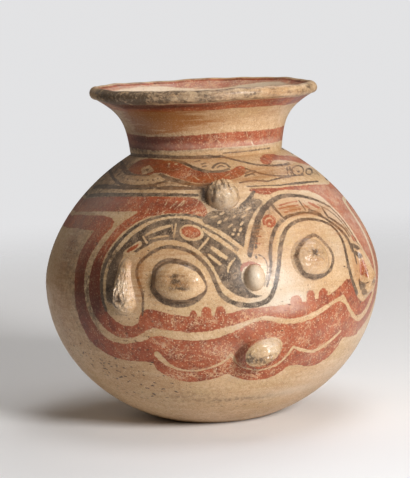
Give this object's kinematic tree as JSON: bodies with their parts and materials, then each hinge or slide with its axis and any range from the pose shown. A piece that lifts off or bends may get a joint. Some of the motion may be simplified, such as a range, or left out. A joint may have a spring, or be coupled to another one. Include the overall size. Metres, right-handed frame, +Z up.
{
  "type": "face vase",
  "caption": "Round hand-built clay jar with a flared neck, painted cream and red bands, and a face of pressed-on lumps on its belly.",
  "frame": {"origin": "middle of the flat underside that the jar stands on", "axes": "+Z up along the jar's axis, the face looks along -Y, +X to the viewer's right"},
  "size_m": [0.2298, 0.238, 0.2277],
  "materials": {
    "cream_slip": "burnished earthenware under a cream slip with red and dark painted bands",
    "worn_clay": "rubbed earthenware where the slip has worn away",
    "red_slip": "burnished earthenware under a red slip"
  },
  "bodies": {
    "root": {"base_bowl": "cream_slip", "lower_belly": "cream_slip", "upper_belly": "cream_slip", "shoulder_ring": "cream_slip", "neck_collar": "cream_slip", "rim_lip": "worn_clay", "eye_left": "cream_slip", "eye_right": "cream_slip", "nose": "cream_slip", "mouth": "red_slip", "brow_knob": "worn_clay", "ear_left": "worn_clay", "ear_right": "worn_clay"}
  },
  "joints": []
}
